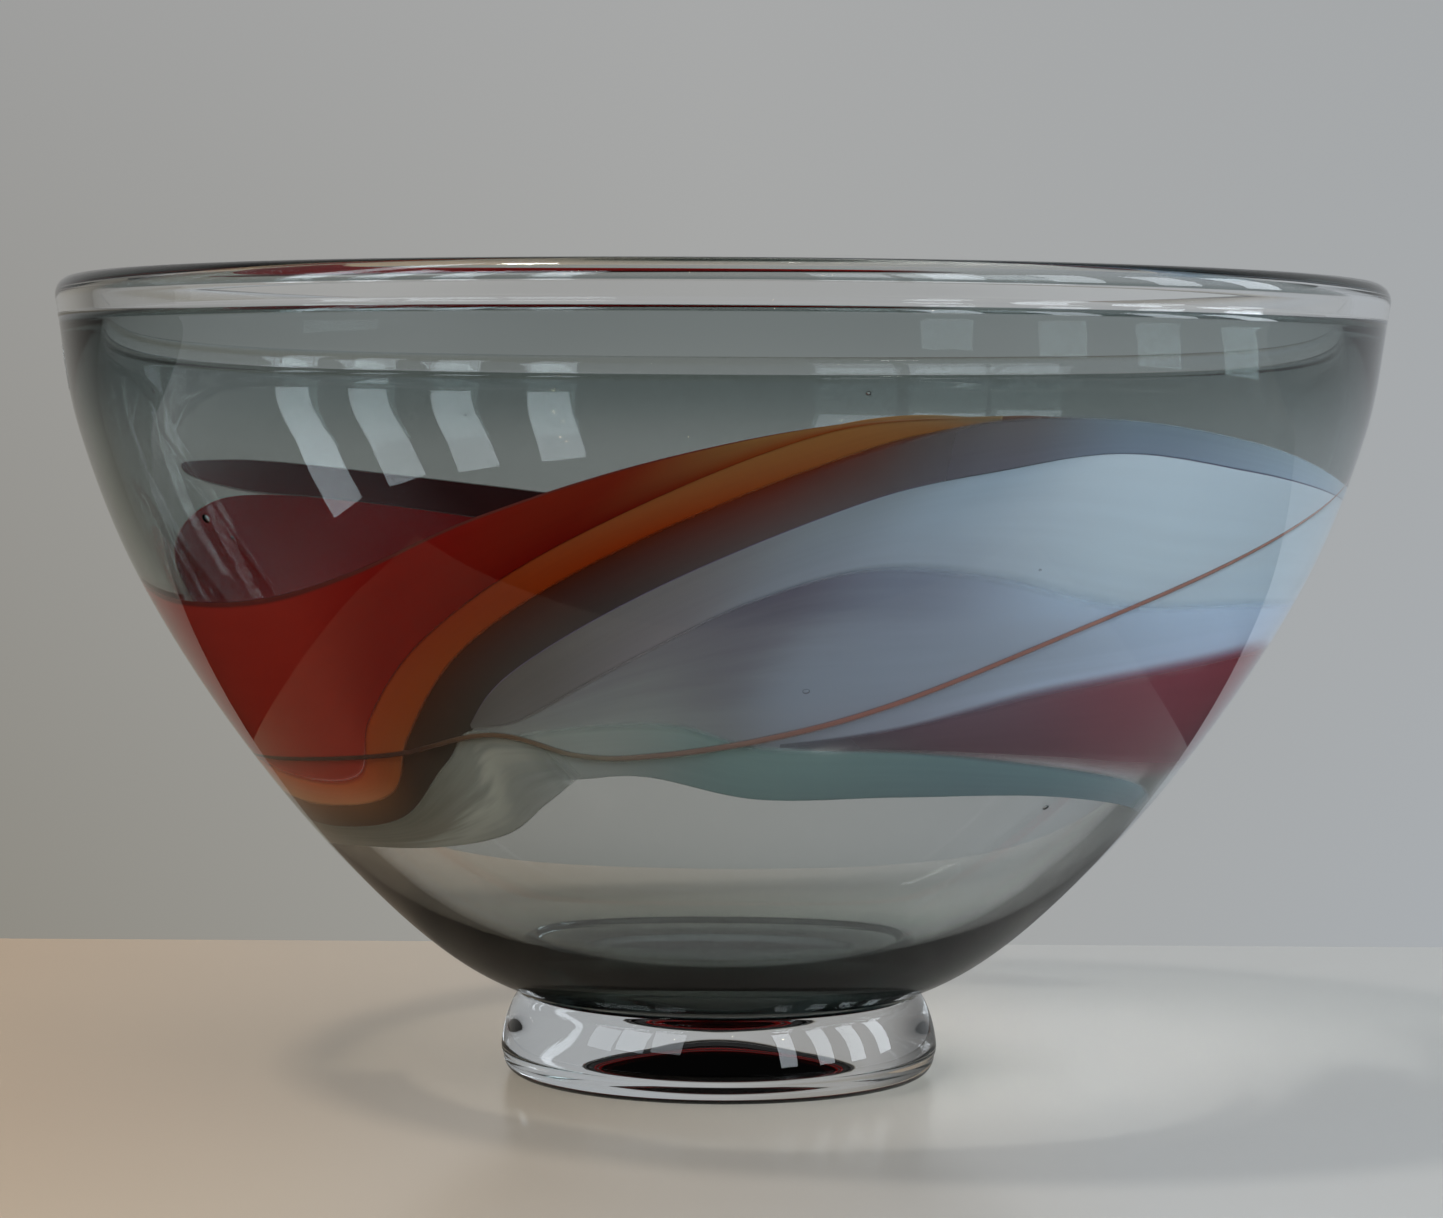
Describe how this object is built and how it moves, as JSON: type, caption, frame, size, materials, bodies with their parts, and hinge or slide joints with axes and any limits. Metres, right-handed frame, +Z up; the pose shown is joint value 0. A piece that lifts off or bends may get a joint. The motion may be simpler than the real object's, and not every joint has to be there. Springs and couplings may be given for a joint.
{
  "type": "art glass bowl",
  "caption": "Deep round centrepiece bowl of smoke-grey cased glass with swirled colour ribbons inside the wall, a clear lip and a clear foot.",
  "frame": {"origin": "centre of the foot's base", "axes": "+Z up along the bowl's axis; the ribbons' front faces -Y; +X is to the right of someone looking at that front"},
  "size_m": [0.321, 0.321, 0.1926],
  "materials": {
    "smoke_glass": "fire-polished transparent smoke-grey glass",
    "clear_glass": "fire-polished clear glass",
    "red_glass": "opaque red colour under clear glass",
    "orange_glass": "burnt-orange colour under clear glass",
    "charcoal_glass": "brown-black colour under clear glass",
    "slate_glass": "slate-blue veil under clear glass",
    "ice_glass": "milky ice-blue colour under clear glass",
    "violet_glass": "violet-grey veil under clear glass",
    "plum_glass": "plum veil under clear glass",
    "sea_green_glass": "sea-green colour under clear glass",
    "grey_green_glass": "grey-green veil under clear glass",
    "maroon_glass": "dark maroon colour under clear glass",
    "umber_glass": "brown-black colour under clear glass",
    "copper_glass": "fine copper-coloured thread under clear glass",
    "label_film": "blank clear film"
  },
  "bodies": {
    "root": {"smoke_bowl": "smoke_glass", "clear_casing": "clear_glass", "lip_wrap": "clear_glass", "foot": "clear_glass", "ribbon_red": "red_glass", "ribbon_orange": "orange_glass", "ribbon_charcoal": "charcoal_glass", "ribbon_slate": "slate_glass", "ribbon_ice": "ice_glass", "ribbon_violet": "violet_glass", "ribbon_plum": "plum_glass", "ribbon_sea_green": "sea_green_glass", "ribbon_grey_green": "grey_green_glass", "ribbon_maroon": "maroon_glass", "ribbon_umber": "umber_glass", "copper_thread": "copper_glass", "blank_label": "label_film"}
  },
  "joints": []
}
